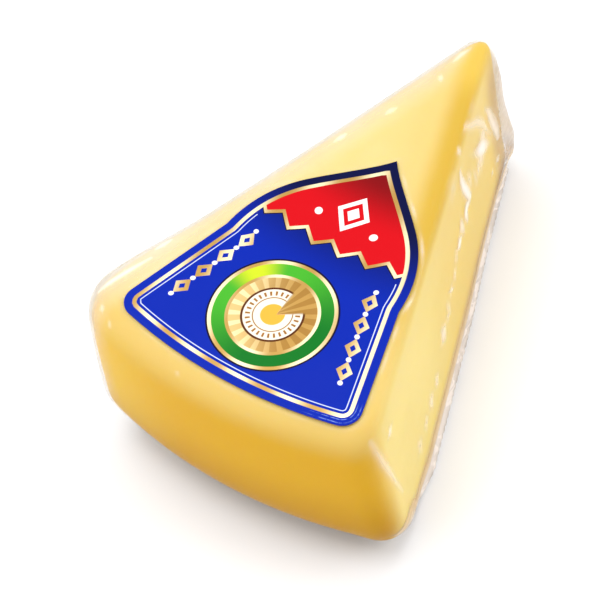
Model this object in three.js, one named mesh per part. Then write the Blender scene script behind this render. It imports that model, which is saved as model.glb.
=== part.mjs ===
// A wedge of cheese shrink-wrapped in clear film, with a printed label on its top face.
// Millimetres, +Z up. The tip of the wedge points along +Y and its rounded rim along -Y.
// The origin is at the middle of the underside of the bounding box.
import * as THREE from 'three';

// ---- Driving dimensions ------------------------------------------------------------
const WHEEL_RADIUS = 142;         // from the wheel's centre to its rim
const WEDGE_ANGLE = 0.664;        // between the two cut faces, radians: 38 degrees
const HEIGHT = 57;                // underside to top face

const TIP_RADIUS = 4.5;           // upright edges, seen from above
const LEFT_CORNER_RADIUS = 8.4;
const RIGHT_CORNER_RADIUS = 7.8;

const CUT_TOP_ROUND = 2.6;         // roundings of the top and bottom edges
const CUT_BOTTOM_ROUND = 7;
const RIM_TOP_ROUND = 7;
const RIM_BOTTOM_ROUND = 20;

const RIM_SPLAY = 2.5;            // how far each wall leans out at its foot
const RIM_BELLY = 0.8;            // bulge of the rim at mid height
const RIGHT_SPLAY_TIP = 1.5;
const RIGHT_SPLAY_RIM = 4.4;
const LEFT_HOLLOW = 0.6;          // the left cut face is a little hollow along its length

const EAR_REACH = 2.4;            // loose film standing off the foot of the tip
const EAR_BEARING = 0.95;         // its direction around the tip, radians from +X
const EAR_SPREAD = 0.55;
const EAR_TOP = 0.62;             // where it starts, as a part of the height
const EAR_WIDEST = 0.14;

const HEM_REACH = 1.6;            // pinched film along the foot of the right cut face
const HEM_HEIGHT = 1.4;           // middle of the hem
const HEM_THICKNESS = 1.4;

const RIM_STEPS = 26;             // facets along each stretch of the outline
const CORNER_STEPS = 10;
const CUT_STEPS = 16;
const TIP_STEPS = 14;

const LABEL_SHIFT = 3.3;          // the label sits a little to the right of the middle
const LABEL_TURN = 0.012;         // and is turned a little
const LABEL_TURN_Y = -85;
const LABEL_THICKNESS = 0.35;
const LABEL_GAP = 0.3;            // clearance above the film
const LABEL_RIM_ARC = 143.4;      // radius of its lower edge
const LABEL_RIM_Y = -136.4;       // and where that edge crosses the middle line
const LABEL_SIDE_ANGLE = 0.295;   // slant of its two straight sides
const LABEL_SIDE_APEX_Y = -8.5;   // where those sides would meet
const LABEL_CORNER = 5;           // radius of the two lower corners
const LABEL_SHOULDER_Y = -97;     // the straight sides end here
const LABEL_APEX_Y = -57.7;       // point of the arched top

// ---- Helpers -----------------------------------------------------------------------
const { PI, asin, atan2, cos, exp, max, min, sin, sqrt, tan } = Math;
const mix = (a, b, t) => a + (b - a) * t;
const smooth = (t) => { const u = max(0, min(1, t)); return u * u * (3 - 2 * u); };

// How far a quarter-round edge of some radius is drawn in, a distance away from its face.
function drawnIn(radius, fromFace) {
  if (fromFace >= radius) return 0;
  const sine = 1 - fromFace / radius;
  return radius * (1 - sqrt(1 - sine * sine));
}

// ---- The wrapped wedge -------------------------------------------------------------
// The level section at a height: a wheel sector with three rounded corners, as stations
// counter-clockwise from its left corner. Each has a point, its outward bearing, and how
// far it belongs to the rim, the right cut face and the left one.
function section(z) {
  const up = z / HEIGHT;
  const cutInset = max(drawnIn(CUT_TOP_ROUND, HEIGHT - z), drawnIn(CUT_BOTTOM_ROUND, z));
  const rimInset = max(drawnIn(RIM_TOP_ROUND, HEIGHT - z), drawnIn(RIM_BOTTOM_ROUND, z));
  const rim = WHEEL_RADIUS + RIM_SPLAY * (1 - up) + RIM_BELLY * 4 * up * (1 - up) - rimInset;
  // The right cut face leans out more at the rim than at the tip, so it turns on the way down.
  const turn = (1 - up) * (RIGHT_SPLAY_RIM - RIGHT_SPLAY_TIP) / WHEEL_RADIUS;
  const walls = {
    right: wall(1, WEDGE_ANGLE / 2 + turn, (1 - up) * RIGHT_SPLAY_TIP - cutInset),
    left: wall(-1, WEDGE_ANGLE / 2, -cutInset),
  };
  const shrink = 0.5 * min(cutInset, rimInset);
  const right = rimCorner(walls.right, rim, RIGHT_CORNER_RADIUS - shrink);
  const left = rimCorner(walls.left, rim, LEFT_CORNER_RADIUS - shrink);
  const tip = tipCorner(walls.right, walls.left, TIP_RADIUS - 0.5 * min(cutInset, CUT_TOP_ROUND));

  const stations = [];
  const arc = (c, radius, from, to, steps, weights) => {
    for (let i = 1; i <= steps; i++) {
      const t = i / steps;
      const a = mix(from, to, t);
      const [onRim, onRight, onLeft] = weights(smooth(t));
      stations.push({
        x: c.x + radius * cos(a), y: c.y + radius * sin(a), bearing: a, onRim, onRight, onLeft,
      });
    }
  };
  const straight = (to, steps) => {
    const a = stations.at(-1);
    for (let i = 1; i <= steps; i++) {
      const t = i / steps;
      stations.push({ ...a, x: mix(a.x, to.x, t), y: mix(a.y, to.y, t) });
    }
  };
  const touch = (corner, bearing) => ({
    x: corner.x + corner.radius * cos(bearing), y: corner.y + corner.radius * sin(bearing),
  });
  const [r, l] = [walls.right.bearing, walls.left.bearing];
  arc({ x: 0, y: 0 }, rim, left.bearing, right.bearing, RIM_STEPS, () => [1, 0, 0]);
  arc(right, right.radius, right.bearing, r, CORNER_STEPS, (t) => [1 - t, t, 0]);
  straight(touch(tip, r), CUT_STEPS);
  arc(tip, tip.radius, r, l, TIP_STEPS, (t) => [0, 1 - t, t]);
  straight(touch(left, l), CUT_STEPS);
  arc(left, left.radius, l, left.bearing + 2 * PI, CORNER_STEPS, (t) => [t, 0, 1 - t]);
  return stations;
}

// An upright wall on one side of the middle line, standing out from the wheel's axis.
function wall(side, halfAngle, out) {
  const bearing = side > 0 ? halfAngle : PI - halfAngle;
  return {
    bearing, out, nx: cos(bearing), ny: sin(bearing),
    tx: side * sin(halfAngle), ty: -cos(halfAngle),
  };
}

// The circle that touches a wall and, from inside, the rim.
function rimCorner(w, rim, radius) {
  const out = w.out - radius;
  const down = sqrt((rim - radius) ** 2 - out ** 2);
  const x = w.nx * out + w.tx * down;
  const y = w.ny * out + w.ty * down;
  return { x, y, radius, bearing: atan2(y, x) };
}

// The circle that touches both walls.
function tipCorner(a, b, radius) {
  const det = a.nx * b.ny - a.ny * b.nx;
  const [p, q] = [a.out - radius, b.out - radius];
  return { x: (p * b.ny - q * a.ny) / det, y: (a.nx * q - b.nx * p) / det, radius };
}

// What the film and the slightly hollow left face add to the wall at a station.
function standOff(s, z) {
  const up = z / HEIGHT;
  const along = smooth(-s.y / (WHEEL_RADIUS * 0.9));
  const hollow = s.onLeft * LEFT_HOLLOW * 4 * along * (1 - along);
  const rise = smooth((EAR_TOP - up) / (EAR_TOP - EAR_WIDEST)) * smooth(up / EAR_WIDEST);
  const around = (s.bearing - EAR_BEARING) / EAR_SPREAD;
  const atTip = 1 - smooth((-s.y / TIP_RADIUS - 3) / 2);
  return atTip * EAR_REACH * rise * exp(-around * around) - hollow;
}

// The hem is a thin ledge of pinched film, all along the foot of the right cut face.
function hem(s, z) {
  const across = (z - HEM_HEIGHT) / (HEM_THICKNESS / 2);
  if (across * across >= 1) return 0;
  const reach = drawnIn(CUT_BOTTOM_ROUND, z) + HEM_REACH;
  return reach * smooth(2 * s.onRight - 1) * sqrt(1 - across * across);
}

// Heights of the sections, from the top face down to the underside.
function levels() {
  const heights = [];
  for (let i = 0; i <= 7; i++) heights.push(HEIGHT - RIM_TOP_ROUND * (i / 7) ** 2.2);
  const [high, low] = [HEIGHT - RIM_TOP_ROUND, RIM_BOTTOM_ROUND];
  for (let i = 1; i < 6; i++) heights.push(mix(high, low, i / 6));
  const hemTop = HEM_HEIGHT + HEM_THICKNESS / 2;
  for (let i = 0; i <= 8; i++) heights.push(mix(low, hemTop, 1 - (1 - i / 8) ** 1.5));
  for (let i = 1; i < 6; i++) heights.push(hemTop - HEM_THICKNESS * smooth(i / 6));
  heights.push(hemTop - HEM_THICKNESS, 0.2, 0);
  return heights;
}

function wrappedCheese() {
  const rings = levels().map((z) => section(z).map((s) => {
    const out = standOff(s, z) + hem(s, z);
    return [s.x + out * cos(s.bearing), s.y + out * sin(s.bearing), z];
  }));
  const count = rings[0].length;
  const positions = rings.flat(2);
  const index = [];
  for (let r = 0; r + 1 < rings.length; r++) {
    for (let i = 0; i < count; i++) {
      const j = (i + 1) % count;
      const [a, b, c, d] = [r * count + i, r * count + j, (r + 1) * count + j, (r + 1) * count + i];
      index.push(a, d, c, a, c, b);
    }
  }
  const close = (first, facingUp) => {
    const middle = positions.length / 3;
    positions.push(0, -WHEEL_RADIUS * 0.62, positions[first * 3 + 2]);
    for (let i = 0; i < count; i++) {
      const [a, b] = [first + i, first + (i + 1) % count];
      index.push(...(facingUp ? [middle, a, b] : [middle, b, a]));
    }
  };
  close(0, true);
  close((rings.length - 1) * count, false);

  const geometry = new THREE.BufferGeometry();
  geometry.setAttribute('position', new THREE.Float32BufferAttribute(positions, 3));
  geometry.setIndex(index);
  return geometry;
}

// ---- The label ---------------------------------------------------------------------
// A wedge-shaped field with a curved lower edge, rounded lower corners and an arched,
// pointed top, in the label's own plan before it is turned and shifted.
function labelShape() {
  const arcCentreY = LABEL_RIM_Y + LABEL_RIM_ARC;
  const slope = tan(LABEL_SIDE_ANGLE);
  const sideX = (y) => (LABEL_SIDE_APEX_Y - y) * slope;
  // Each lower corner circle touches the lower arc from inside and the straight side.
  const reach = LABEL_RIM_ARC - LABEL_CORNER;
  const toSide = (LABEL_SIDE_APEX_Y - arcCentreY) * sin(LABEL_SIDE_ANGLE);
  const swing = asin((LABEL_CORNER - toSide) / reach);
  const bearing = LABEL_SIDE_ANGLE - swing;
  const corner = { x: reach * sin(bearing), y: arcCentreY - reach * cos(bearing) };
  const touch = {
    x: corner.x + LABEL_CORNER * cos(LABEL_SIDE_ANGLE),
    y: corner.y + LABEL_CORNER * sin(LABEL_SIDE_ANGLE),
  };
  const shoulder = { x: sideX(LABEL_SHOULDER_Y), y: LABEL_SHOULDER_Y };
  const haunch = { x: shoulder.x * 0.58, y: mix(LABEL_SHOULDER_Y, LABEL_APEX_Y, 0.61) };

  const shape = new THREE.Shape();
  shape.moveTo(-shoulder.x, shoulder.y);
  shape.lineTo(-touch.x, touch.y);
  shape.absarc(-corner.x, corner.y, LABEL_CORNER, PI - LABEL_SIDE_ANGLE, 1.5 * PI - bearing,
    false);
  shape.absarc(0, arcCentreY, LABEL_RIM_ARC, 1.5 * PI - bearing, 1.5 * PI + bearing, false);
  shape.absarc(corner.x, corner.y, LABEL_CORNER, 1.5 * PI + bearing, 2 * PI + LABEL_SIDE_ANGLE,
    false);
  shape.lineTo(shoulder.x, shoulder.y);
  shape.bezierCurveTo(shoulder.x * 0.98, mix(shoulder.y, haunch.y, 0.38),
    shoulder.x * 0.85, mix(shoulder.y, haunch.y, 0.72), haunch.x, haunch.y);
  shape.bezierCurveTo(haunch.x * 0.64, mix(haunch.y, LABEL_APEX_Y, 0.36),
    haunch.x * 0.24, mix(haunch.y, LABEL_APEX_Y, 0.68), 0, LABEL_APEX_Y);
  shape.bezierCurveTo(-haunch.x * 0.24, mix(haunch.y, LABEL_APEX_Y, 0.68),
    -haunch.x * 0.64, mix(haunch.y, LABEL_APEX_Y, 0.36), -haunch.x, haunch.y);
  shape.bezierCurveTo(-shoulder.x * 0.85, mix(shoulder.y, haunch.y, 0.72),
    -shoulder.x * 0.98, mix(shoulder.y, haunch.y, 0.38), -shoulder.x, shoulder.y);
  return shape;
}

function label() {
  const geometry = new THREE.ExtrudeGeometry(labelShape(), {
    depth: LABEL_THICKNESS, bevelEnabled: false, curveSegments: 14,
  });
  geometry.translate(0, -LABEL_TURN_Y, 0);
  geometry.rotateZ(-LABEL_TURN);
  geometry.translate(LABEL_SHIFT, LABEL_TURN_Y, HEIGHT + LABEL_GAP);
  return geometry;
}

// ---- Assembly ----------------------------------------------------------------------
function mesh(name, geometry, color, roughness) {
  const made = new THREE.Mesh(geometry, new THREE.MeshStandardMaterial({ color, roughness }));
  made.name = name;
  return made;
}

const part = new THREE.Group();
part.name = 'wrapped_cheese_wedge';
part.add(mesh('wrapped_cheese', wrappedCheese(), 0xf3d583, 0.3));
part.add(mesh('label', label(), 0x1238a8, 0.35));

const box = new THREE.Box3().setFromObject(part);
const middle = box.getCenter(new THREE.Vector3());
for (const piece of part.children) piece.geometry.translate(-middle.x, -middle.y, -box.min.z);

export default part;
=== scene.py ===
"""A wedge of firm yellow cheese, shrink-wrapped in clear film, with a printed label on top."""

import math

import bmesh
import bpy
import numpy as np
from mathutils import Matrix, Vector, noise


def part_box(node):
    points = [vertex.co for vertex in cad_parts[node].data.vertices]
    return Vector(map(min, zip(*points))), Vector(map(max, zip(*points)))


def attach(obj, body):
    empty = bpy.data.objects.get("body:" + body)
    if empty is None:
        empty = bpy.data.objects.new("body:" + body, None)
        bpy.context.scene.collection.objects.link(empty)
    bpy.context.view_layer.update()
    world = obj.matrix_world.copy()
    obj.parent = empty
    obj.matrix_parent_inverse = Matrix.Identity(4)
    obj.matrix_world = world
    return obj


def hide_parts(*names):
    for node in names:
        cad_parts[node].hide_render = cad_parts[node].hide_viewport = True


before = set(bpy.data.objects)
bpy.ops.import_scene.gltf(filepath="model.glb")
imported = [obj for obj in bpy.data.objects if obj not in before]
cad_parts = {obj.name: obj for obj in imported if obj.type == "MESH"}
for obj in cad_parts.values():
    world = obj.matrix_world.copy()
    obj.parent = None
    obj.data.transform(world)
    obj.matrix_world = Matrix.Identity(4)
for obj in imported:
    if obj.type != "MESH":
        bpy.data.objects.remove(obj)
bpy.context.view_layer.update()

# ---- Sizes and places, as the solids have them ---------------------------------------
MM = 0.001
WHEEL_CENTRE = Vector((-1.508, 74.956, 0)) * MM
WHEEL_RADIUS = 142 * MM
HALF_ANGLE = 0.332
HEIGHT = 57 * MM
HEM_LOW, HEM_HIGH = 0.7 * MM, 2.1 * MM
# The right cut face in millimetres: its height, its length, and how far its foot stands out of
# the upright by the tip and how much more by the rim.
FACE_HEIGHT, FACE_LENGTH = 57, 142
FOOT_OUT, FOOT_OUT_MORE = 1.5, 2.9
# The film's ear: its top and its widest place as shares of the height, and its bearing and
# spread round the tip.
EAR_TOP, EAR_WIDEST = 0.62, 0.14
EAR_BEARING, EAR_SPREAD = 0.95, 0.55
TIP_CENTRE, TIP_RADIUS = 11.8, 4.5

RIGHT_OUT = Vector((math.cos(HALF_ANGLE), math.sin(HALF_ANGLE), 0))
RIGHT_DOWN = Vector((math.sin(HALF_ANGLE), -math.cos(HALF_ANGLE), 0))
LEFT_OUT = Vector((-math.cos(HALF_ANGLE), math.sin(HALF_ANGLE), 0))
LEFT_DOWN = Vector((-math.sin(HALF_ANGLE), -math.cos(HALF_ANGLE), 0))

# ---- The photograph's view ----------------------------------------------------------
CAMERA_BEARING = 0.7547
CAMERA_RISE = 0.9563
CAMERA_ROLL = -0.1879
CAMERA_DISTANCE = 667.6 * MM
CAMERA_AIM = WHEEL_CENTRE + Vector((-7.54, -92.12, 28.36)) * MM
LENS = 149.96


def mix(a, b, t):
    """The value that lies a share t of the way from a to b."""
    return a + (b - a) * t


def smooth(t):
    """A smooth step from 0 to 1."""
    t = min(max(t, 0.0), 1.0)
    return t * t * (3 - 2 * t)


def past(value, start, run):
    """0 up to a start, 1 from a run past it, and a smooth step between them."""
    return smooth((value - start) / run)


def short_of(value, end, run):
    """1 up to a run before an end, 0 past the end, and a smooth step between them."""
    return smooth((end - value) / run)


# ---- Materials as expressions -------------------------------------------------------
class Term:
    """A shader socket that takes part in Python's arithmetic."""

    def __init__(self, finish, socket):
        self.finish = finish
        self.socket = socket

    def does(self, operation, *values):
        """One Math node on the given values."""
        return self.finish.node(
            "ShaderNodeMath", {"operation": operation}, dict(enumerate(values))
        )

    def __add__(self, other):
        return self.does("ADD", self, other)

    def __sub__(self, other):
        return self.does("SUBTRACT", self, other)

    def __rsub__(self, other):
        return self.does("SUBTRACT", other, self)

    def __mul__(self, other):
        return self.does("MULTIPLY", self, other)

    def __truediv__(self, other):
        return self.does("DIVIDE", self, other)

    def __rtruediv__(self, other):
        return self.does("DIVIDE", other, self)

    def __pow__(self, other):
        return self.does("POWER", self, other)

    def __neg__(self):
        return self * -1

    def __abs__(self):
        return self.does("ABSOLUTE", self)

    __radd__ = __add__
    __rmul__ = __mul__

    def least(self, other):
        return self.does("MINIMUM", self, other)

    def most(self, other):
        return self.does("MAXIMUM", self, other)

    def sine(self):
        return self.does("SINE", self)

    def ramp(self, low, high, start=0.0, end=1.0):
        """start below low, end above high, and a smooth step between them."""
        return self.finish.node(
            "ShaderNodeMapRange",
            {"interpolation_type": "SMOOTHSTEP"},
            {"Value": self, "From Min": low, "From Max": high, "To Min": start, "To Max": end},
        )


class Finish:
    """A material that is built by naming its nodes, their settings and their sockets."""

    def __init__(self, name):
        self.material = bpy.data.materials.new(name)
        self.material.use_nodes = True
        self.tree = self.material.node_tree
        self.tree.nodes.clear()

    def node(self, kind, settings=None, sockets=None, output=0):
        """Adds a node, with its settings first and then its sockets' values or links."""
        made = self.tree.nodes.new(kind)
        for name, value in (settings or {}).items():
            setattr(made, name, value)
        for name, value in (sockets or {}).items():
            socket = made.inputs[name]
            if isinstance(value, Term):
                self.tree.links.new(value.socket, socket)
            elif socket.type == "RGBA" and len(value) == 3:
                socket.default_value = (*value, 1)
            else:
                socket.default_value = value
        return Term(self, made.outputs[output])

    def place(self):
        """Object coordinates, as a vector and as its three numbers in millimetres."""
        where = self.node("ShaderNodeTexCoord", output="Object")
        where = self.node(
            "ShaderNodeVectorMath", {"operation": "SCALE"}, {0: where, "Scale": 1000.0}
        )
        apart = self.node("ShaderNodeSeparateXYZ", sockets={0: where}).socket.node
        return where, [Term(self, s) for s in apart.outputs]

    def noise(self, where, scale, detail=3.0, roughness=0.5, distortion=0.0):
        return self.node(
            "ShaderNodeTexNoise",
            sockets={
                "Vector": where,
                "Scale": scale,
                "Detail": detail,
                "Roughness": roughness,
                "Distortion": distortion,
            },
        )

    def chart(self, name):
        """A number that the mesh carries at each vertex."""
        return self.node("ShaderNodeAttribute", {"attribute_name": name}, output="Fac")

    def stretched(self, where, turn=(0, 0, 0), scale=(1, 1, 1), shift=(0, 0, 0)):
        """The coordinates turned, scaled and moved."""
        return self.node(
            "ShaderNodeMapping",
            sockets={"Vector": where, "Rotation": turn, "Scale": scale, "Location": shift},
        )

    def blend(self, share, first, second):
        """One colour over another."""
        return self.node(
            "ShaderNodeMix", {"data_type": "RGBA"}, {0: share, 6: first, 7: second}, output=2
        )

    def bump(self, height, distance, strength=1.0):
        return self.node(
            "ShaderNodeBump",
            sockets={"Height": height, "Distance": distance, "Strength": strength},
        )

    def principled(self, **sockets):
        """A Principled shader, its sockets' names written with underscores."""
        named = {key.replace("_", " "): value for key, value in sockets.items()}
        return self.node("ShaderNodeBsdfPrincipled", sockets=named)

    def surface(self, shader):
        """Puts a shader on the material's output, and gives the material back."""
        output = self.tree.nodes.new("ShaderNodeOutputMaterial")
        self.tree.links.new(shader.socket, output.inputs["Surface"])
        return self.material


# ---- Modelling helpers ----------------------------------------------------------------
def alone(obj):
    """Makes an object the only one selected, and the active one."""
    bpy.ops.object.select_all(action="DESELECT")
    obj.select_set(True)
    bpy.context.view_layer.objects.active = obj
    return obj


def copy_of(node, name):
    """A copy of one of the model's solids as an object of its own, with its facets joined."""
    alone(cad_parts[node])
    bpy.ops.object.duplicate()
    copy = alone(bpy.context.object)
    copy.name = copy.data.name = name
    copy.data.materials.clear()
    bpy.ops.object.mode_set(mode="EDIT")
    bpy.ops.mesh.select_all(action="SELECT")
    bpy.ops.mesh.remove_doubles(threshold=0.001 * MM)
    bpy.ops.object.mode_set(mode="OBJECT")
    return copy


def pick(obj, kind, test):
    """In edit mode, selects the vertices or the faces whose middle passes a test."""
    bpy.ops.mesh.select_mode(type={"verts": "VERT", "faces": "FACE"}[kind])
    bpy.ops.mesh.select_all(action="DESELECT")
    mesh = bmesh.from_edit_mesh(obj.data)
    for part in getattr(mesh, kind):
        corners = [part] if kind == "verts" else part.verts
        middle = sum((v.co for v in corners), Vector()) / len(corners)
        part.select_set(bool(test(part, middle)))
    mesh.select_flush_mode()
    bmesh.update_edit_mesh(obj.data)


def finished(obj, kind, **settings):
    """Adds a modifier and applies it."""
    alone(obj)
    bpy.ops.object.modifier_add(type=kind)
    modifier = obj.modifiers[-1]
    for name, value in settings.items():
        setattr(modifier, name, value)
    bpy.ops.object.modifier_apply(modifier=modifier.name)


def at_each(obj, value):
    """A function's value at each vertex."""
    return [value(v.co) for v in obj.data.vertices]


def pressed(obj, name, shares, rise, axis="NORMAL"):
    """Moves the surface along its normals, or an axis, by so many millimetres times a share
    per vertex."""
    group = obj.vertex_groups.new(name=name)
    for k, share in enumerate(shares):
        if share > 0:
            group.add([k], share, "REPLACE")
    finished(
        obj, "DISPLACE", strength=rise * MM, mid_level=0, direction=axis, vertex_group=group.name
    )
    obj.vertex_groups.clear()


def pushed(obj, name, shares, push, way):
    """Moves the surface some way over the ground."""
    pressed(obj, name, shares, push * way.x, "X")
    pressed(obj, name, shares, push * way.y, "Y")


def charted(obj, name, values):
    """Keeps a number at each vertex for the material to read."""
    chart = obj.data.attributes.new(name, "FLOAT", "POINT")
    chart.data.foreach_set("value", values)


def from_wheel(p):
    """A place seen from the wheel's centre."""
    return p - WHEEL_CENTRE


# ---- Where the film stands off the cheese ---------------------------------------------
def ear(p):
    """How much of the film's loose ear there is at a place by the tip, from 0 to 1."""
    q = from_wheel(p) / MM
    up = p.z / HEIGHT
    around = math.atan2(q.y + TIP_CENTRE + 2 * up, q.x)
    around = min(max(around, HALF_ANGLE), math.pi - HALF_ANGLE)
    rise = short_of(up, EAR_TOP, EAR_TOP - EAR_WIDEST) * smooth(up / EAR_WIDEST)
    near_tip = 1 - past(-q.y / TIP_RADIUS, 3, 2)
    return near_tip * rise * math.exp(-(((around - EAR_BEARING) / EAR_SPREAD) ** 2))


def tip_film(p):
    """The film beside the upright edge of the tip, which hangs a little off it on the right."""
    q = from_wheel(p) / MM
    near = (1 - past(-q.y, 11, 13)) * past(q.x, -2.5, 4)
    return near * past(p.z / MM, 4, 14) * mix(0.35, 1, short_of(p.z / MM, 56, 14))


def left_corner(p):
    """The upright corner between the rim and the left cut face, more so towards the foot."""
    q = from_wheel(p) / MM
    near = past(LEFT_OUT.dot(q), -9, 9) * past(LEFT_DOWN.dot(q), 112, 24)
    return near * mix(0.25, 1.0, short_of(p.z / MM, 50, 40))


def left_film(p):
    """The film round the upright left corner, where it stands off the cheese."""
    q = from_wheel(p) / MM
    near = past(LEFT_OUT.dot(q), -16, 14) * past(LEFT_DOWN.dot(q), 118, 20)
    return near * short_of(p.z / MM, 57.5, 8)


def left_ridge(p, reach):
    """The edge between the top and the left cut face, out to a reach on the top."""
    q = from_wheel(p) / MM
    depth = -LEFT_OUT.dot(q)
    reach = min(reach, -0.42 * q.y)
    return smooth(1 - depth / reach) * past(p.z / MM, 40, 14) if reach > 1 else 0.0


def left_slope(p):
    """How far the edge between the top and the left cut face is rounded off, ending before the
    corner at the rim."""
    return left_ridge(p, 6) * short_of(LEFT_DOWN.dot(from_wheel(p) / MM), 128, 30)


def on_right_face(p):
    """A place as millimetres along the right cut face, up from its foot, and out of it."""
    q = from_wheel(p) / MM
    return (RIGHT_DOWN.dot(q), q.z), RIGHT_OUT.dot(q)


def splay(p):
    """The foot of the right cut face, where the cheese spreads a little on to the film's hem."""
    (along, height), out = on_right_face(p)
    where = mix(0.45, 1, past(along, 38, 32)) * mix(1, 0.4, past(along, 112, 14))
    return where * past(out, -4, 4) * short_of(height, 12, 9)


def near_corner(p):
    """The foot of the corner between the rim and the right cut face, where they draw to a
    point."""
    (along, height), out = on_right_face(p)
    return past(along, 122, 16) * past(out, -9, 10) * short_of(height, 26, 22)


def hem_share(p):
    """How far out along the hem a place is, from 0 at the wall to 1."""
    (along, height), out = on_right_face(p)
    wall = (1 - height / FACE_HEIGHT) * (FOOT_OUT + FOOT_OUT_MORE * along / FACE_LENGTH)
    return past(out, wall, 1.3) * short_of(height, 6, 2)


def hem_taper(p):
    """Where the hem narrows, most of all below the ear."""
    (along, _), _ = on_right_face(p)
    return hem_share(p) * mix(0.3, 1, short_of(along, 68, 44))


def hem_end(p):
    """The near end of the hem, which runs in towards the corner."""
    (along, height), out = on_right_face(p)
    return max(out - 2.2, 0) / 5 * past(along, 112, 14) * short_of(height, 5, 1.5)


def hem_film(p):
    """The hem, as 1, and the foot of the wall above it, as a fifth, for the material, which
    paints tan shade on that foot. At the near corner the crumpled film carries on round the foot."""
    (along, height), out = on_right_face(p)
    low = 0.2 * short_of(height, 11, 6) + 0.8 * short_of(height, 4.3, 1.4)
    corner = past(along, 124, 8) * past(out, -5, 5) * short_of(height, 13, 9)
    return max(low * past(out, -0.5, 1.5), 0.75 * corner)


# ---- The cheese ---------------------------------------------------------------------
# How far the solid's skin is moved to make the cheese, in millimetres: all of it, at the ear, at
# the foot of the right face and of the near corner, down the left corner and along its edge.
CHEESE_IN = -0.3
EAR_IN, FOOT_SPREAD, CORNER_POINT = -2.4, 1.2, 1.1
LEFT_CORNER_IN, LEFT_EDGE_IN = -3.6, -1.7
CHEESE_MESH = 1.1 * MM

# Its colours: the top on the left, on the right and by the rim, where it is painted shade, the
# right cut face by the tip and by the rim, clouds and grain in them, the golden ridge with
# painted shade and the painted shade down the tip's edge, the rind with painted shade low down,
# and painted contact shade at the foot. The pale top and face carry a painted sheen of the film.
TOP_LEFT, TOP_RIGHT, TOP_NEAR_SHADE = (0.72, 0.58, 0.245), (0.695, 0.53, 0.19), (0.675, 0.48, 0.14)
SIDE_FAR, SIDE_NEAR = (0.775, 0.56, 0.145), (0.82, 0.655, 0.215)
CLOUD, GRAIN = (0.70, 0.51, 0.14), (0.78, 0.66, 0.34)
RIDGE_GOLD_AND_SHADE, RIDGE_AT_TIP, TIP_EDGE_SHADE = (0.595, 0.39, 0.055), (0.68, 0.47, 0.085), (0.66, 0.43, 0.10)
RIND, RIND_LOW_SHADE, RIND_LEFT = (0.675, 0.375, 0.006), (0.405, 0.187, 0.001), (0.79, 0.53, 0.05)
FOOT_TAN_SHADE, FOOT_SHADE = (0.66, 0.46, 0.19), (0.20, 0.10, 0.012)


def cheese():
    """The wedge inside its film: the solid without the film's hem and ear, a little smaller,
    and rounder where the film stands off."""
    body = copy_of("wrapped_cheese", "cheese")
    bpy.ops.object.mode_set(mode="EDIT")
    slack = 0.05 * MM
    pick(body, "verts", lambda v, p: HEM_LOW - slack < p.z < HEM_HIGH + slack)
    bpy.ops.mesh.delete(type="VERT")
    bpy.ops.mesh.select_mode(type="EDGE")
    bpy.ops.mesh.select_all(action="DESELECT")
    bpy.ops.mesh.select_non_manifold()
    bpy.ops.mesh.bridge_edge_loops()
    bpy.ops.mesh.select_all(action="SELECT")
    bpy.ops.mesh.normals_make_consistent(inside=False)
    bpy.ops.transform.shrink_fatten(value=CHEESE_IN * MM)
    bpy.ops.object.mode_set(mode="OBJECT")
    pressed(body, "ear", at_each(body, ear), EAR_IN)
    pushed(body, "splay", at_each(body, splay), FOOT_SPREAD, RIGHT_OUT)
    pushed(body, "near_corner", at_each(body, near_corner), CORNER_POINT, RIGHT_DOWN)
    finished(body, "REMESH", mode="VOXEL", voxel_size=CHEESE_MESH, adaptivity=0)
    pressed(body, "left_corner", at_each(body, left_corner), LEFT_CORNER_IN)
    pressed(body, "left_slope", at_each(body, left_slope), LEFT_EDGE_IN)
    finished(body, "SMOOTH", factor=0.5, iterations=12)
    bpy.ops.object.shade_smooth()
    return body


def off_wheel(x, y):
    """A material's place over the ground, in millimetres from the wheel's axis."""
    return x - WHEEL_CENTRE.x * 1000, y - WHEEL_CENTRE.y * 1000


def toward(away, way):
    """How far a material's place over the ground lies some way."""
    return away[0] * way.x + away[1] * way.y


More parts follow.
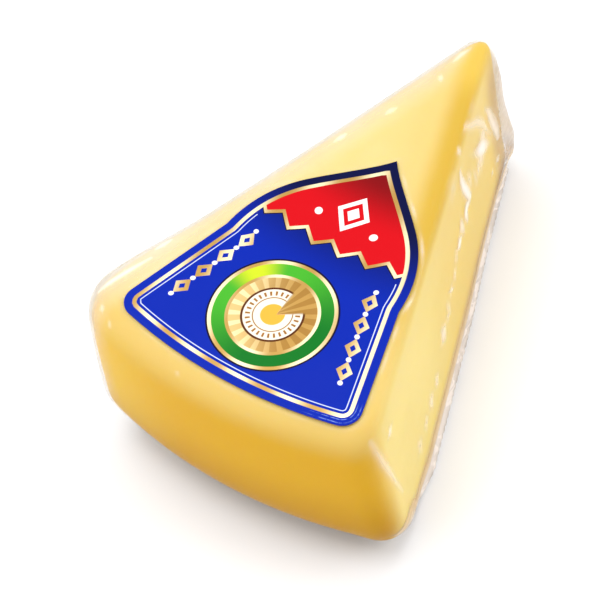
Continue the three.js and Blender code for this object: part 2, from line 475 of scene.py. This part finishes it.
def cheese_finish():
    """Pale yellow on the flat faces, partly a painted sheen of the film; deeper gold along the
    ridge by the tip, partly painted shade; a golden rind round the rim with painted shade low
    down, and painted contact shade at the foot."""
    finish = Finish("pale_yellow_cheese")
    where, (x, y, z) = finish.place()
    away = off_wheel(x, y)
    from_axis = (away[0] * away[0] + away[1] * away[1]) ** 0.5
    out, down = toward(away, RIGHT_OUT), toward(away, RIGHT_DOWN)
    from_ridge = ((out + 2.4) ** 2 + ((z - HEIGHT * 1000) * 1.6) ** 2) ** 0.5
    cloud = finish.noise(where, 0.035, 3.0, 0.55)
    grain = finish.noise(where, 0.9, 4.0, 0.6)
    # Painted shade along the ridge by the tip, fading towards the rim: a deeper gold that is
    # partly the cheese's own colour.
    ridge_shade = (from_ridge + cloud * 3 - 1.5).ramp(1.0, 7.0, 1, 0) * down.ramp(72, 125, 1, 0.15)
    rind = from_axis.ramp(WHEEL_RADIUS * 1000 - 9, WHEEL_RADIUS * 1000 + 0.5)
    rind = rind * z.ramp(56.5, 46)
    # Painted shade: the rind darkens towards its foot. It is also lighter towards its left end.
    low = z.ramp(40, 2)
    # The top and the right face are pale partly from a painted sheen of the film.
    top = finish.blend(out.ramp(-24, -8), TOP_LEFT, TOP_RIGHT)
    side = finish.blend(down.ramp(60, 110), SIDE_FAR, SIDE_NEAR)
    # Painted shade on the top towards the rounded rim.
    top = finish.blend(from_axis.ramp(124, 140), top, TOP_NEAR_SHADE)
    paste_and_sheen = finish.blend(out.ramp(-2, 1), top, side)
    paste_and_sheen = finish.blend(cloud.ramp(0.35, 0.68, 0, 0.25), paste_and_sheen, CLOUD)
    gold = finish.blend(down.ramp(34, 20), RIDGE_GOLD_AND_SHADE, RIDGE_AT_TIP)
    paste_and_sheen = finish.blend(ridge_shade, paste_and_sheen, gold)
    # Painted shade down the tip's upright edge.
    paste_and_sheen = finish.blend(down.ramp(24, 15, 0, 0.8) * out.ramp(-1, 0.5), paste_and_sheen, TIP_EDGE_SHADE)
    rim = finish.blend(low, RIND, RIND_LOW_SHADE)
    rim = finish.blend(x.ramp(-8, -42, 0, 0.6) * z.ramp(4, 30), rim, RIND_LEFT)
    colour = finish.blend(grain.ramp(0.55, 0.8, 0, 0.07), paste_and_sheen, GRAIN)
    colour = finish.blend(rind, colour, rim)
    # Painted contact shade along the bottom: tan on the foot of the right face, dark on the foot
    # elsewhere.
    foot_shade = (z + down.ramp(45, 100, 0, 3)).ramp(13, 6, 0, 0.95) * out.ramp(-1, 0.5)
    colour = finish.blend(foot_shade, colour, FOOT_TAN_SHADE)
    dark_foot_shade = z.ramp(11, 3.5, 0, 0.95) * out.ramp(-2, 0.5, 1, 0.1)
    colour = finish.blend(dark_foot_shade, colour, FOOT_SHADE)
    relief = finish.bump(cloud * 0.6 + grain * 0.05, 0.0006, 0.5)
    return finish.surface(
        finish.principled(
            Base_Color=colour,
            Roughness=grain.ramp(0.3, 0.7, 0.42, 0.52),
            Normal=relief,
            Subsurface_Weight=0.35,
            Subsurface_Radius=(1.0, 0.55, 0.18),
            Subsurface_Scale=0.004,
            Specular_IOR_Level=0.08,
        )
    )


# ---- The film -----------------------------------------------------------------------
# Folds in the film on the right cut face: how proud each one is, from 0 to 1, how wide in
# millimetres, and the places it runs through, as millimetres along the face from the wheel's
# axis and up from the foot. Their white haze is a painted highlight.
FOLDS = [
    (1.00, 8.0, [(30.2, 38.4), (33.6, 34.8)]),
    (0.55, 1.5, [(25, 45.4), (22.8, 41.1), (21.6, 35.8), (20, 29.8), (19.4, 25.9)]),
    (0.48, 1.7, [
        (44.7, 59.8), (40.4, 56.2), (32.7, 48.9), (28.8, 43.3), (26, 37.6), (23.1, 31.7),
    ]),
    (0.35, 1.7, [(32, 44.6), (28.1, 38.5), (25.3, 32.7)]),
    (0.43, 1.6, [(52.9, 65.4), (49.3, 60.9)]),
    (0.5, 1.3, [(48.5, 56.1)]),
    (0.43, 1.3, [(36, 37.5), (37.1, 34.8), (37.4, 30.9)]),
    (1.00, 1.8, [
        (51.7, 51.3), (51.9, 48.1), (50.8, 43.9), (48.8, 38.9), (47.1, 34.4), (48.1, 33.5),
    ]),
    (0.95, 2.0, [(47.8, 34.1), (51, 35.1), (52.2, 34), (51.9, 30.4)]),
    (0.35, 2.1, [(46.6, 44), (44.4, 36.3)]),
    (0.29, 2.1, [(41.6, 38.8), (38.9, 30.2)]),
    (0.43, 1.3, [(20.6, 18.9), (22.2, 18.2)]),
    (0.43, 1.3, [(24.9, 18.1), (26.5, 17.4)]),
    (0.22, 3.4, [(59, 52.9)]),
    (0.59, 2.1, [(57.2, 37.5), (57.3, 34.6), (55.6, 30.4)]),
    (1.00, 2.5, [(60.9, 33.4), (60.9, 30.8)]),
    (0.35, 2.3, [(65.3, 34.1), (64.6, 29.4)]),
    (0.35, 2.3, [(68.4, 30.1), (68.5, 26.1)]),
    (0.52, 3.1, [(72.5, 28), (73.6, 26.8)]),
    (0.35, 2.0, [(78.3, 28.3), (76.6, 22.1)]),
    (0.39, 2.0, [(76.6, 22.1), (80.5, 25)]),
    (0.61, 2.9, [(85.3, 26.2), (83.7, 20.1)]),
    (0.48, 2.2, [(95.9, 19.6), (95.3, 15.3)]),
    (0.48, 2.2, [(102.6, 20.2), (101.6, 14.8)]),
    (0.36, 2.2, [(107.8, 18.4), (108.8, 14.7)]),
    (0.36, 2.2, [(116.5, 19.4), (115, 14.1)]),
    (0.52, 2.0, [(130.5, 48.1), (130.2, 45.3)]),
    (0.22, 2.6, [(125.3, 63.2), (128.3, 59.8)]),
    (0.36, 2.1, [(141.8, 66.1), (142.7, 61.7)]),
    (0.45, 1.3, [
        (138.2, 55.1), (138.4, 49.9), (137.5, 43.4), (136.3, 37.1), (134.6, 29.6),
        (132.3, 21.3),
    ]),
    (0.26, 3.2, [(33.8, 58.2)]),
    (0.9, 0.7, [(75.3, 1.4)]),
    (0.8, 0.6, [(92, 1.4)]),
    (0.9, 0.8, [(111.9, 1.4)]),
    (0.9, 0.7, [(120.8, 1.4)]),
    (1.0, 0.8, [(128.9, 1.4)]),
    (1.0, 1.2, [(132.8, 1.6)]),
]
# The same on the top, as millimetres from the wheel's axis in plan.
TOP_FOLDS = [
    (0.37, 0.55, [(-40.6, -130.5), (-39.5, -127.2), (-37.2, -121.3), (-34.7, -115.3)]),
    (0.27, 0.5, [(-35.4, -112.6), (-33.6, -107.8)]),
    (0.33, 0.5, [(-41.6, -121.5), (-39.6, -116), (-37.6, -110.5)]),
    (0.43, 0.7, [(-1.7, -21.5), (-1.1, -18), (-0.2, -15.4)]),
    (0.33, 0.7, [(-2.2, -27.3), (-0.9, -29.3)]),
    (0.30, 0.8, [(-7.8, -45.6), (-6.4, -42.4)]),
    (0.27, 0.6, [(-14.5, -60), (-13.2, -56.6)]),
    (0.33, 0.6, [(-37.6, -133.2), (-36.3, -134.8)]),
    (0.30, 0.5, [(-33.6, -135.8), (-32.2, -137.2)]),
    (0.23, 0.5, [(12.9, -140.6), (14.3, -140.8)]),
    (0.23, 0.5, [(-9.5, -139.6), (-8.2, -139.9)]),
]
# How proud a whole fold is, in millimetres, and the least share of it that is meshed finely.
FOLD_RISE, FOLD_LEAST = 0.13, 0.03
# The little ridge round the label: how far off it, how wide and how proud. Its haze is a painted
# highlight line.
TENT_OFF, TENT_WIDTH, TENT_SHARE = 1.0, 0.5, 0.45

# How far the solid's skin is moved to make the film, in millimetres: at the foot of the right
# face, where the hem narrows and ends, at the near corner, along the left edge, and at the tip.
FILM_SPREAD, HEM_NARROWED, HEM_RUN_IN = 1.2, -1.3, -4.0
FILM_POINT, FILM_EDGE_IN, TIP_SLACK = 0.3, -1.2, 1.9
FILM_MESH = 0.8 * MM

# Its colours where it is milky: white on a fold, there a painted highlight; cream-grey along the
# left edge, a painted sheen; grey at its very brink, a painted reflection; tan at the ear,
# painted shade; and at the hem, tan beside the cheese as painted shade, and pale further out.
MILK_AND_GLINT, LEFT_SHEEN, BRINK_REFLECTION = (0.97, 0.93, 0.88), (0.745, 0.71, 0.66), (0.66, 0.62, 0.59)
EAR_TAN_SHADE, HEM_TAN_SHADE, HEM_PALE = (0.55, 0.42, 0.29), (0.72, 0.52, 0.28), (0.88, 0.79, 0.72)


def near_line(p, line):
    """How far a point is from a line through several places, and how far along the line."""
    if len(line) == 1:
        return math.hypot(p[0] - line[0][0], p[1] - line[0][1]), 0.5
    nearest, share = 1e9, 0.0
    for k, ((ax, ay), (bx, by)) in enumerate(zip(line, line[1:])):
        dx, dy = bx - ax, by - ay
        t = ((p[0] - ax) * dx + (p[1] - ay) * dy) / (dx * dx + dy * dy)
        t = min(max(t, 0.0), 1.0)
        away = math.hypot(p[0] - ax - dx * t, p[1] - ay - dy * t)
        if away < nearest:
            nearest, share = away, (k + t) / (len(line) - 1)
    return nearest, share


def fold(p):
    """How proud a fold is at a place, from 0 to 1."""
    here, out = on_right_face(p)
    if p.z > HEIGHT - 3 * MM and out < -1:
        q = from_wheel(p) / MM
        return ridges((q.x, q.y), TOP_FOLDS)
    return ridges(here, FOLDS) * past(out, -3, 1.5) if out > -3 else 0.0


def ridges(here, folds):
    """The highest of some folds at a place, each thinner and lower towards its ends."""
    rise = 0.0
    for proud, width, line in folds:
        away, share = near_line(here, line)
        swell = math.sin(math.pi * share)
        width *= mix(0.55, 1, swell)
        if away < 2.5 * width:
            rise = max(rise, proud * mix(0.5, 1, swell) * math.exp(-((away / width) ** 2)))
    return rise


def label_outline():
    """The label's outline as two arrays of segment ends."""
    sheet = copy_of("label", "outline")
    mesh = sheet.data
    top = max(v.co.z for v in mesh.vertices) - 0.01 * MM
    walls = {}
    for face in mesh.polygons:
        for key in face.edge_keys:
            walls.setdefault(key, set()).add(abs(face.normal.z) > 0.5)
    rim = [k for k, kinds in walls.items() if len(kinds) == 2 and mesh.vertices[k[0]].co.z > top]
    ends = [np.array([mesh.vertices[k[i]].co.xy for k in rim]) / MM for i in (0, 1)]
    bpy.data.objects.remove(sheet)
    return ends


def from_outline(p, ends):
    """Millimetres from a place to the nearest part of an outline, in plan."""
    a, b = ends
    here = np.array(p.xy) / MM
    run = b - a
    t = np.clip(((here - a) * run).sum(1) / (run * run).sum(1), 0, 1)[:, None]
    return float(np.hypot(*(here - a - run * t).T).min())


def film():
    """The tight clear film: the whole solid's skin, with its puckers and folds."""
    skin = copy_of("wrapped_cheese", "clear_film")
    finished(skin, "REMESH", mode="VOXEL", voxel_size=FILM_MESH, adaptivity=0)
    finished(skin, "SMOOTH", factor=0.5, iterations=3)
    charted(skin, "hem", at_each(skin, hem_film))
    taper, end = at_each(skin, hem_taper), at_each(skin, hem_end)
    spread = at_each(skin, lambda p: splay(p) * (1 - hem_share(p)))
    pushed(skin, "splay", spread, FILM_SPREAD, RIGHT_OUT)
    pushed(skin, "hem", taper, HEM_NARROWED, RIGHT_OUT)
    pushed(skin, "hem_end", end, HEM_RUN_IN, RIGHT_OUT)
    pushed(skin, "near_corner", at_each(skin, near_corner), FILM_POINT, RIGHT_DOWN)
    pressed(skin, "left_slope", at_each(skin, left_slope), FILM_EDGE_IN)
    pressed(skin, "tip", at_each(skin, tip_film), TIP_SLACK, "X")
    outline = label_outline()

    def tent(p):
        """The little ridge where the film comes down round the label, mostly on its right."""
        if p.z < HEIGHT - 1 * MM:
            return 0.0
        away = (from_outline(p, outline) - TENT_OFF) / TENT_WIDTH
        if abs(away) > 2.5:
            return 0.0
        q = from_wheel(p) / MM
        side = past(q.x, 2, 12) * past(q.y, -118, 10)
        patchy = min(max(0.5 + noise.noise(q * 0.22), 0.0), 1.0)
        return patchy * mix(0.25, 1.0, side) * math.exp(-away * away) * TENT_SHARE

    def crease(p):
        return max(fold(p), tent(p))

    def flap(p):
        return max(ear(p), tip_film(p) * short_of(p.z / MM, 57, 9))

    # A broad band along the left edge, where the haze paints a sheen.
    def left_sheen(p):
        return left_ridge(p, 13) * (1 - left_ridge(p, 4) / 2)

    alone(skin)
    bpy.ops.object.mode_set(mode="EDIT")
    pick(skin, "faces", lambda f, p: crease(p) > FOLD_LEAST)
    bpy.ops.mesh.subdivide(number_cuts=1)
    bpy.ops.object.mode_set(mode="OBJECT")
    folded = at_each(skin, crease)
    charted(skin, "folded", folded)
    charted(skin, "left_sheen", at_each(skin, left_sheen))
    charted(skin, "loose", at_each(skin, left_film))
    charted(skin, "ear", at_each(skin, flap))
    pressed(skin, "folds", folded, FOLD_RISE)
    bpy.ops.object.shade_smooth()
    skin.visible_shadow = False
    return skin


def film_finish():
    """Clear film: see-through, with a gloss, and milkier where it stands off. Its haze also
    paints light:
    highlights on the folds, a sheen along the left edge, a reflection at its brink and shade at
    the ear and at the hem's foot.
    """
    finish = Finish("clear_film")
    where, (x, y, z) = finish.place()
    out = toward(off_wheel(x, y), RIGHT_OUT)
    folded, left_sheen, loose = (finish.chart(name) for name in ("folded", "left_sheen", "loose"))
    flap, hem = finish.chart("ear"), finish.chart("hem")
    streaks = finish.stretched(where, (0.3, 0.5, 0.9), (1, 0.22, 1))
    fine = finish.noise(streaks, 0.35, 3.0, 0.5, 0.6)
    sharp = (1 - abs(fine * 2 - 1)).ramp(0.86, 1.0)
    broad = finish.noise(where, 0.08, 2.0, 0.5)
    relief = finish.bump(sharp * 0.12 + broad * 1.2, 0.0005, 0.6)
    mirror = finish.node("ShaderNodeFresnel", sockets={"IOR": 1.4, "Normal": relief})
    facing = finish.node("ShaderNodeLayerWeight", sockets={"Blend": 0.5}, output="Facing")
    # Grey haze where the film is seen edge-on: a painted reflection.
    edge_reflection = facing.ramp(0.75, 0.97) * out.ramp(-6, -14) * z.ramp(14, 26)
    # White haze on the folds and on the ridge round the label is a painted highlight; the haze
    # that grows at grazing angles is a painted sheen.
    haze = facing**6 * 0.07 + folded.ramp(0, 1, 0, 0.3) + folded * 0.52 + edge_reflection * 0.5
    haze = haze + left_sheen * broad.ramp(0.2, 0.8, 0.5, 0.7)
    haze = haze + loose * broad.ramp(0.2, 0.8, 0.26, 0.42) + flap * 0.5
    # More haze at the foot of the wall, where its tan tint is painted shade.
    thick = broad.ramp(0.35, 0.65, 0.5, 0.75) + hem.ramp(0.1, 0.6, 0.2, 0)
    haze = haze + hem.ramp(0, 0.2) * thick
    # Fine streaks of haze are painted glints, most of all on the hem.
    haze = (haze + sharp * (flap * 0.08 + loose * 0.06 + hem * 0.35)).least(0.9)
    clear = finish.node("ShaderNodeBsdfTransparent", sockets={"Color": (1, 1, 1)})
    tint = finish.blend(left_sheen.ramp(0, 0.5), MILK_AND_GLINT, LEFT_SHEEN)
    # Painted shade: the loose film by the tip is tinted tan.
    tint = finish.blend(flap.ramp(0.05, 0.5, 0, 0.9), tint, EAR_TAN_SHADE)
    tint = finish.blend(edge_reflection * 0.9, tint, BRINK_REFLECTION)
    tint = finish.blend(folded.ramp(0, 0.12), tint, MILK_AND_GLINT)
    # The hem's tan beside the cheese is painted shade; further out it is pale film.
    hem_tint = finish.blend(hem.ramp(0.2, 0.75), HEM_TAN_SHADE, HEM_PALE)
    cloudy = finish.principled(
        Base_Color=finish.blend(hem.ramp(0, 0.1), tint, hem_tint),
        Roughness=0.35,
        Normal=relief,
        Specular_IOR_Level=0.4,
    )
    gloss = finish.node(
        "ShaderNodeBsdfGlossy",
        sockets={"Color": (1, 1, 1), "Roughness": 0.08, "Normal": relief},
    )
    body = finish.node("ShaderNodeMixShader", sockets={0: haze, 1: clear, 2: cloudy})
    shine = (mirror * ((left_sheen + loose + flap + hem) * 0.3 + 0.13) + folded * 0.06).least(1.0)
    glossy = finish.node("ShaderNodeMixShader", sockets={0: shine, 1: body, 2: gloss})
    return finish.surface(glossy)


# ---- The label ----------------------------------------------------------------------
# Where it lies, and the circle of its lower edge, in millimetres.
LABEL_SHIFT, LABEL_TURN, LABEL_TURN_Y = 3.3, 0.012, -85.0
LABEL_ARC_Y, LABEL_ARC = 7.0, 143.4
LABEL_MESH = 1.0 * MM
LABEL_SUNK = -0.3 * MM

# Its print: how far inside the edge the gold border and the two garlands run, the height of each
# garland's first dot and how many lozenges follow it, how high the cap begins and its lozenge and
# dots stand, where the medallion's middle lies, how far apart the motifs are, and the softness of
# every outline.
BORDER, GARLAND = 2.7, 7.9
GARLAND_STEP, GARLAND_START, GARLAND_COUNT = 7.0, 11.5, 4
CAP, CAP_STEP, CAP_LOZENGE, CAP_DOTS = 49.5, 8.2, 58.5, 54.6
MEDALLION = -114.2
SOFT = 0.07

# Its inks. Each gold pairs the dark and light ends of a painted reflection, and the pale crinkle
# blue is a painted highlight.
BLUE, NAVY = (0.0, 0.017, 0.36), (0.001, 0.003, 0.045)
PALE_BLUE, CRINKLE_GLINT_BLUE = (0.62, 0.68, 0.86), (0.16, 0.26, 0.66)
RED, DARK_RED = (0.58, 0.002, 0.007), (0.20, 0.002, 0.004)
WHITE, DOT_WHITE, CREAM = (0.86, 0.86, 0.86), (0.80, 0.81, 0.86), (0.86, 0.80, 0.66)
YOLK, BROWN, DARK_BROWN = (0.85, 0.42, 0.05), (0.32, 0.14, 0.03), (0.10, 0.028, 0.008)
LINE_BLACK = (0.004, 0.002, 0.02)
LIME, GREEN, DARK_GREEN = (0.55, 0.66, 0.02), (0.06, 0.40, 0.025), (0.004, 0.16, 0.015)
GOLD = (0.50, 0.29, 0.075), (0.90, 0.72, 0.38)
TRIM_GOLD = (0.50, 0.30, 0.08), (0.98, 0.86, 0.55)
RAY_GOLD = (0.38, 0.20, 0.045), (0.72, 0.50, 0.20)


def label():
    """The label, cut into a fine grid so that it can carry a map of the distance to its edge."""
    outline = label_outline()
    sheet = copy_of("label", "label_sheet")
    low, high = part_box("label")
    bpy.ops.object.mode_set(mode="EDIT")
    bpy.ops.mesh.select_all(action="SELECT")
    bpy.ops.mesh.dissolve_limited(angle_limit=0.02)
    for axis in (0, 1):
        across = Vector((axis == 0, axis == 1, 0))
        for k in range(1, int((high[axis] - low[axis]) / LABEL_MESH)):
            place = across * (low[axis] + k * LABEL_MESH)
            bpy.ops.mesh.select_all(action="SELECT")
            bpy.ops.mesh.bisect(plane_co=place, plane_no=across)
    bpy.ops.mesh.select_all(action="SELECT")
    bpy.ops.transform.translate(value=(0, 0, LABEL_SUNK))
    bpy.ops.object.mode_set(mode="OBJECT")
    charted(sheet, "inset", at_each(sheet, lambda p: from_outline(p, outline)))
    return sheet


def label_finish():
    """Printed fields and simple shapes: a blue ground in a gold border, a red cap with a
    lozenge, a round medallion with a cheese, and a garland along each side."""
    finish = Finish("label_print")
    pivot = WHEEL_CENTRE * 1000 + Vector((LABEL_SHIFT, LABEL_TURN_Y, 0))
    back = Matrix.Rotation(LABEL_TURN, 3, "Z")
    shift = Vector((0, LABEL_TURN_Y, 0)) - back @ pivot
    where, _ = finish.place()
    local = finish.stretched(where, (0, 0, LABEL_TURN), shift=shift)
    apart = finish.node("ShaderNodeSeparateXYZ", sockets={0: local}).socket.node
    u, v = Term(finish, apart.outputs[0]), Term(finish, apart.outputs[1])
    inset = finish.chart("inset")

    def inside(distance):
        return distance.ramp(-SOFT, SOFT, 1, 0)

    def ring(distance, low, high):
        return inside(abs(distance - (low + high) / 2) - (high - low) / 2)

    def length(a, b):
        return (a * a + b * b) ** 0.5

    radius = length(u, v - LABEL_ARC_Y)
    lift = LABEL_ARC - radius
    along = u.does("ARCTAN2", u, LABEL_ARC_Y - v) * radius

    def spaced(value, pitch, shift=0.0):
        value = value - shift
        return value - value.does("ROUND", value / pitch) * pitch

    # Light and dark bands across the gold: a painted reflection.
    gold_sheen = (u * 0.16 + v * 0.07 - 1.2).sine() * 0.5 + 0.5
    trim_sheen = (along * 0.42 + lift * 0.12).sine() * 0.5 + 0.5
    gold = finish.blend(gold_sheen**1.5, *GOLD)
    trim = finish.blend(trim_sheen**1.4, *TRIM_GOLD)
    ray_gold = finish.blend(gold_sheen**1.5, *RAY_GOLD)
    colour = finish.blend(lift.ramp(34, 60), BLUE, NAVY)
    metal = inset * 0

    def paint(mask, ink, metallic=False):
        nonlocal colour, metal
        colour = finish.blend(mask, colour, ink)
        metal = metal + mask * (float(metallic) - metal)

    # The red cap, with a zigzag lower edge, a lozenge and two dots
    cap = CAP - lift - abs(spaced(along, CAP_STEP)) * 0.8
    within = inside(BORDER + 0.4 - inset)
    paint(inside(cap - 1.6) * within, LINE_BLACK)
    paint(inside(cap - 1.2) * within, trim, True)
    paint(inside(cap) * within, finish.blend(lift.ramp(56, 72), RED, DARK_RED))
    lozenge = abs(along) * 1.25 + abs(lift - CAP_LOZENGE)
    for size, ink in ((6.2, WHITE), (4.2, RED), (2.4, WHITE)):
        paint(inside(lozenge - size), ink)
    paint(inside(length(abs(along) - 8.6, lift - CAP_DOTS) - 1.1), WHITE)

    # The gold border and the thin line beside it
    paint(ring(inset, BORDER - 0.55, BORDER + 0.55), trim, True)
    paint(ring(inset, BORDER + 1.3, BORDER + 1.55) * inside(lift - CAP + 6), PALE_BLUE)

    # The medallion: a green ring edged in gold, round a gold field with rays
    wheel = length(u, v - MEDALLION)
    round_it = u.does("ARCTAN2", u, v - MEDALLION)
    green = finish.blend(abs(round_it + 0.9).ramp(0.7, 2.4), GREEN, DARK_GREEN)
    green = finish.blend(abs(round_it + 0.9).ramp(0.05, 0.6), LIME, green)
    paint(inside(wheel - 17.2), LINE_BLACK)
    paint(inside(wheel - 16.7), trim, True)
    paint(inside(wheel - 15.7), green)
    paint(inside(wheel - 12.3), trim, True)
    paint(inside(wheel - 11.4), gold, True)
    rays = inside(abs(spaced(round_it, math.pi / 10)) * 10 - 0.9)
    paint(inside(wheel - 11.4) * rays, ray_gold, True)

    # The cheese on it, with a wedge cut out
    quarter = inside(abs(u.does("ARCTAN2", u - 0.8, v - MEDALLION - 0.4) - 0.5) - 0.5)
    whole = 1 - quarter * inside(wheel - 9.6)
    paint(inside(wheel - 8.3) * whole, DARK_BROWN)
    paint(inside(wheel - 7.7) * whole, CREAM)
    ticks = inside(abs(spaced(round_it, math.pi / 14)) * 8 - 0.35)
    paint(ring(wheel, 5.8, 7.1) * ticks * whole, BROWN)
    paint(ring(wheel, 5.0, 5.3) * whole, BROWN)
    paint(inside(wheel - 3.2) * whole, YOLK)

    # The garlands: lozenges with dots between and beyond them
    half = GARLAND_STEP * GARLAND_COUNT / 2
    reach = abs(lift - GARLAND_START - half)
    step = spaced(lift, GARLAND_STEP, GARLAND_START + GARLAND_STEP / 2)
    big = abs(inset - GARLAND) * 1.3 + abs(step)
    paint(inside(big - 2.9) * inside(reach - half), trim, True)
    paint(inside(big - 1.1) * inside(reach - half), BLUE)
    dot = length(inset - GARLAND, spaced(lift, GARLAND_STEP, GARLAND_START)) - 0.7
    paint(inside(dot) * inside(reach - half - 1.2), DOT_WHITE)

    # Painted highlights on a crinkled corner: pale streaks by the lower right edge
    crumple = finish.noise(where, 0.5, 3.0, 0.6, 0.8)
    patchy = crumple.ramp(0.42, 0.62) * along.ramp(22, 31) * lift.ramp(8, 4)
    paint((ring(inset, 0.5, 0.75) + ring(inset, 1.5, 1.7)) * patchy, CRINKLE_GLINT_BLUE)

    relief = finish.bump(metal * 0.03 + finish.noise(where, 0.05, 2.0) * 0.8, 0.0004, 0.5)
    return finish.surface(
        finish.principled(
            Base_Color=colour,
            Metallic=metal * 0.6,
            Roughness=metal * 0.1 + 0.22,
            Normal=relief,
            Specular_IOR_Level=0.12,
        )
    )


# ---- Stage, light and camera ---------------------------------------------------------
LIT = Vector((0, 0, 0.02))


def stage():
    """The plain pale floor, a hair below the wedge."""
    bpy.ops.object.select_all(action="DESELECT")
    bpy.ops.mesh.primitive_plane_add(size=6, location=(0, 0, -0.15 * MM))
    floor = bpy.context.object
    floor.name = "floor"
    bpy.ops.object.transform_apply(location=True, rotation=True, scale=True)
    finish = Finish("pale_floor")
    where, _ = finish.place()
    speckle = finish.noise(where, 0.02, 2.0)
    colour = finish.blend(speckle, (0.855, 0.865, 0.885), (0.87, 0.88, 0.90))
    matt = finish.principled(Base_Color=colour, Roughness=0.9, Specular_IOR_Level=0.1)
    floor.data.materials.append(finish.surface(matt))


def softbox(name, place, size, power):
    """A rectangular light that faces the wedge."""
    light = bpy.data.lights.new(name, "AREA")
    light.shape = "RECTANGLE"
    light.size, light.size_y = size
    light.energy = power
    box = bpy.data.objects.new(name, light)
    box.location = place
    box.rotation_euler = (Vector(place) - LIT).to_track_quat("Z", "Y").to_euler()
    bpy.context.scene.collection.objects.link(box)


def studio():
    """A pale surround and three soft lights."""
    world = bpy.data.worlds.new("studio")
    bpy.context.scene.world = world
    world.use_nodes = True
    sky = world.node_tree.nodes["Background"]
    sky.inputs["Color"].default_value = (1, 0.985, 0.97, 1)
    sky.inputs["Strength"].default_value = 0.68
    softbox("overhead", (-0.2, -0.06, 1.1), (0.9, 0.9), 8.5)
    softbox("right_side", (0.85, 0.6, 0.62), (0.8, 0.7), 4.8)
    softbox("front_fill", (-0.6, -1.0, 0.6), (0.9, 0.9), 4.0)
    bpy.context.scene.view_settings.view_transform = "Standard"


def camera():
    """The camera, at the photograph's angle."""
    rise, bearing = CAMERA_RISE, CAMERA_BEARING
    back = Vector((
        math.sin(bearing) * math.cos(rise), -math.cos(bearing) * math.cos(rise), math.sin(rise)
    ))
    right = Vector((math.cos(bearing), math.sin(bearing), 0))
    up = back.cross(right)
    turned_right = right * math.cos(CAMERA_ROLL) + up * math.sin(CAMERA_ROLL)
    turned_up = up * math.cos(CAMERA_ROLL) - right * math.sin(CAMERA_ROLL)
    lens = bpy.data.cameras.new("camera")
    lens.lens = LENS
    lens.sensor_width = 36
    lens.clip_start = 0.01
    eye = bpy.data.objects.new("camera", lens)
    turn = Matrix((turned_right, turned_up, back)).transposed()
    eye.matrix_world = Matrix.Translation(CAMERA_AIM + back * CAMERA_DISTANCE) @ turn.to_4x4()
    bpy.context.scene.collection.objects.link(eye)
    bpy.context.scene.camera = eye


# ---- Assembly -----------------------------------------------------------------------
camera()
studio()
stage()

body = cheese()
body.data.materials.append(cheese_finish())
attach(body, "root")

skin = film()
skin.data.materials.append(film_finish())
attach(skin, "root")
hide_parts("wrapped_cheese")
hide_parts("wrapped_cheese")

sheet = label()
sheet.data.materials.append(label_finish())
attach(sheet, "root")
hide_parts("label")
